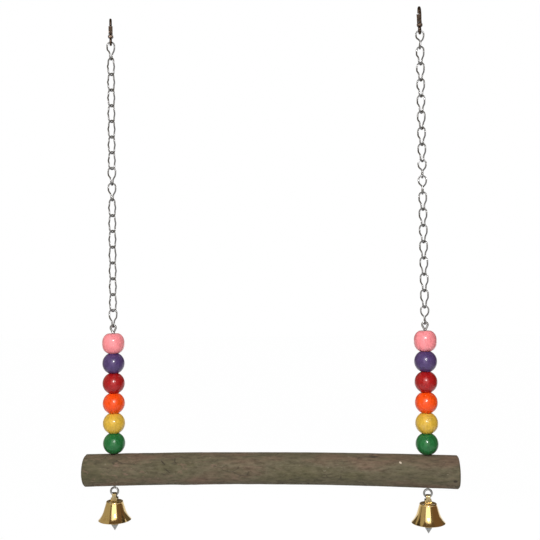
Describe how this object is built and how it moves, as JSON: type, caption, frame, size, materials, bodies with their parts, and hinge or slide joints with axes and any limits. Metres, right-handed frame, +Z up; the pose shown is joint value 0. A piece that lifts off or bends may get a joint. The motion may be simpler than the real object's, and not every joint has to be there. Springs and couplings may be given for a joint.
{
  "type": "bird swing",
  "caption": "Hanging bird swing: a branch perch carried by chains with snap hooks at the top, painted beads above the perch's ends and small brass bells below them.",
  "frame": {"origin": "midway between the hooks, at the height where the rail bears on the inside of their bows", "axes": "+Z up, +X along the perch towards the right-hand hook, the front faces -Y"},
  "size_m": [0.2948, 0.026, 0.4108],
  "materials": {
    "bark": "rough bark",
    "dark_bronze": "dark bronze plating",
    "chain_steel": "zinc plated",
    "rod_steel": "plain steel",
    "bell_brass": "polished",
    "pink_paint": "gloss paint",
    "purple_paint": "gloss paint",
    "red_paint": "gloss paint",
    "orange_paint": "gloss paint",
    "yellow_paint": "gloss paint",
    "green_paint": "gloss paint"
  },
  "bodies": {
    "hooks": {"left_hook_frame": "dark_bronze", "left_hook_rivet": "dark_bronze", "right_hook_frame": "dark_bronze", "right_hook_rivet": "dark_bronze"},
    "perch": {"perch": "bark", "left_bead_rod": "rod_steel", "right_bead_rod": "rod_steel"},
    "left_gate": {"left_hook_gate": "dark_bronze"},
    "left_swing_link": {"left_chain_swing_link": "chain_steel"},
    "left_links": {"left_chain_sway_link": "chain_steel", "left_chain_upper_links": "chain_steel", "left_chain_lower_links": "chain_steel", "left_chain_closing_link": "chain_steel"},
    "left_end_link": {"left_chain_end_link": "chain_steel"},
    "right_gate": {"right_hook_gate": "dark_bronze"},
    "right_swing_link": {"right_chain_swing_link": "chain_steel"},
    "right_links": {"right_chain_sway_link": "chain_steel", "right_chain_upper_links": "chain_steel", "right_chain_lower_links": "chain_steel", "right_chain_closing_link": "chain_steel"},
    "right_end_link": {"right_chain_end_link": "chain_steel"},
    "left_pink_bead": {"left_bead_pink": "pink_paint"},
    "left_purple_bead": {"left_bead_purple": "purple_paint"},
    "left_red_bead": {"left_bead_red": "red_paint"},
    "left_orange_bead": {"left_bead_orange": "orange_paint"},
    "left_yellow_bead": {"left_bead_yellow": "yellow_paint"},
    "left_green_bead": {"left_bead_green": "green_paint"},
    "left_hanger": {"left_bell_hanger": "bell_brass", "left_clapper_pin": "bell_brass"},
    "left_bell": {"left_bell_shell": "bell_brass"},
    "left_clapper": {"left_bell_clapper": "rod_steel"},
    "right_pink_bead": {"right_bead_pink": "pink_paint"},
    "right_purple_bead": {"right_bead_purple": "purple_paint"},
    "right_red_bead": {"right_bead_red": "red_paint"},
    "right_orange_bead": {"right_bead_orange": "orange_paint"},
    "right_yellow_bead": {"right_bead_yellow": "yellow_paint"},
    "right_green_bead": {"right_bead_green": "green_paint"},
    "right_hanger": {"right_bell_hanger": "bell_brass", "right_clapper_pin": "bell_brass"},
    "right_bell": {"right_bell_shell": "bell_brass"},
    "right_clapper": {"right_bell_clapper": "rod_steel"}
  },
  "joints": [
    {"name": "left_gate_turn", "type": "hinge", "parent": "hooks", "child": "left_gate", "pos_m": [-0.1235, 0, -0.0126], "axis": [-0.9659, -0.2588, 0], "range_deg": [0, 30], "stiffness_Nm_per_rad": 0.01},
    {"name": "left_swing", "type": "hinge", "parent": "hooks", "child": "left_swing_link", "pos_m": [-0.1235, 0, -0.0171], "axis": [1, 0, 0], "range_deg": [-60, 60]},
    {"name": "left_sway", "type": "hinge", "parent": "left_swing_link", "child": "left_links", "pos_m": [-0.1235, 0, -0.0313], "axis": [0, 1, 0], "range_deg": [-20, 20]},
    {"name": "left_sway_low", "type": "hinge", "parent": "left_links", "child": "left_end_link", "pos_m": [-0.1235, 0, -0.2345], "axis": [0, 1, 0], "range_deg": [-20, 20]},
    {"name": "right_gate_turn", "type": "hinge", "parent": "hooks", "child": "right_gate", "pos_m": [0.1235, 0, -0.0126], "axis": [-0.9659, 0.2588, 0], "range_deg": [0, 30], "stiffness_Nm_per_rad": 0.01},
    {"name": "right_swing", "type": "hinge", "parent": "hooks", "child": "right_swing_link", "pos_m": [0.1235, 0, -0.0171], "axis": [1, 0, 0], "range_deg": [-60, 60]},
    {"name": "right_sway", "type": "hinge", "parent": "right_swing_link", "child": "right_links", "pos_m": [0.1235, 0, -0.0313], "axis": [0, 1, 0], "range_deg": [-20, 20]},
    {"name": "right_sway_low", "type": "hinge", "parent": "right_links", "child": "right_end_link", "pos_m": [0.1235, 0, -0.2345], "axis": [0, 1, 0], "range_deg": [-20, 20]},
    {"name": "perch_pitch", "type": "hinge", "parent": "left_end_link", "child": "perch", "pos_m": [-0.1235, 0, -0.2455], "axis": [1, 0, 0], "range_deg": [-45, 45]},
    {"name": "left_pink_bead_spin", "type": "hinge", "parent": "perch", "child": "left_pink_bead", "pos_m": [-0.1235, 0, -0.3], "axis": [0, 0, 1], "continuous": true},
    {"name": "left_purple_bead_spin", "type": "hinge", "parent": "perch", "child": "left_purple_bead", "pos_m": [-0.1235, 0, -0.3], "axis": [0, 0, 1], "continuous": true},
    {"name": "left_red_bead_spin", "type": "hinge", "parent": "perch", "child": "left_red_bead", "pos_m": [-0.1235, 0, -0.3], "axis": [0, 0, 1], "continuous": true},
    {"name": "left_orange_bead_spin", "type": "hinge", "parent": "perch", "child": "left_orange_bead", "pos_m": [-0.1235, 0, -0.3], "axis": [0, 0, 1], "continuous": true},
    {"name": "left_yellow_bead_spin", "type": "hinge", "parent": "perch", "child": "left_yellow_bead", "pos_m": [-0.1235, 0, -0.3], "axis": [0, 0, 1], "continuous": true},
    {"name": "left_green_bead_spin", "type": "hinge", "parent": "perch", "child": "left_green_bead", "pos_m": [-0.1235, 0, -0.3], "axis": [0, 0, 1], "continuous": true},
    {"name": "left_bell_swing", "type": "hinge", "parent": "perch", "child": "left_hanger", "pos_m": [-0.1235, 0, -0.38072], "axis": [1, 0, 0], "range_deg": [-40, 40]},
    {"name": "left_bell_spin", "type": "hinge", "parent": "left_hanger", "child": "left_bell", "pos_m": [-0.1235, 0, -0.40052], "axis": [0, 0, 1], "continuous": true},
    {"name": "left_clapper_swing", "type": "hinge", "parent": "left_hanger", "child": "left_clapper", "pos_m": [-0.1235, 0, -0.38857], "axis": [0, 1, 0], "range_deg": [-32, 32]},
    {"name": "right_pink_bead_spin", "type": "hinge", "parent": "perch", "child": "right_pink_bead", "pos_m": [0.1235, 0, -0.3], "axis": [0, 0, 1], "continuous": true},
    {"name": "right_purple_bead_spin", "type": "hinge", "parent": "perch", "child": "right_purple_bead", "pos_m": [0.1235, 0, -0.3], "axis": [0, 0, 1], "continuous": true},
    {"name": "right_red_bead_spin", "type": "hinge", "parent": "perch", "child": "right_red_bead", "pos_m": [0.1235, 0, -0.3], "axis": [0, 0, 1], "continuous": true},
    {"name": "right_orange_bead_spin", "type": "hinge", "parent": "perch", "child": "right_orange_bead", "pos_m": [0.1235, 0, -0.3], "axis": [0, 0, 1], "continuous": true},
    {"name": "right_yellow_bead_spin", "type": "hinge", "parent": "perch", "child": "right_yellow_bead", "pos_m": [0.1235, 0, -0.3], "axis": [0, 0, 1], "continuous": true},
    {"name": "right_green_bead_spin", "type": "hinge", "parent": "perch", "child": "right_green_bead", "pos_m": [0.1235, 0, -0.3], "axis": [0, 0, 1], "continuous": true},
    {"name": "right_bell_swing", "type": "hinge", "parent": "perch", "child": "right_hanger", "pos_m": [0.1235, 0, -0.38072], "axis": [1, 0, 0], "range_deg": [-40, 40]},
    {"name": "right_bell_spin", "type": "hinge", "parent": "right_hanger", "child": "right_bell", "pos_m": [0.1235, 0, -0.40052], "axis": [0, 0, 1], "continuous": true},
    {"name": "right_clapper_swing", "type": "hinge", "parent": "right_hanger", "child": "right_clapper", "pos_m": [0.1235, 0, -0.38857], "axis": [0, 1, 0], "range_deg": [-32, 32]}
  ],
  "couplings": [
    {"joint": "left_sway_low", "follows": "left_sway", "ratio": -1},
    {"joint": "right_swing", "follows": "left_swing", "ratio": 1},
    {"joint": "right_sway", "follows": "left_sway", "ratio": 1},
    {"joint": "right_sway_low", "follows": "left_sway", "ratio": -1}
  ]
}
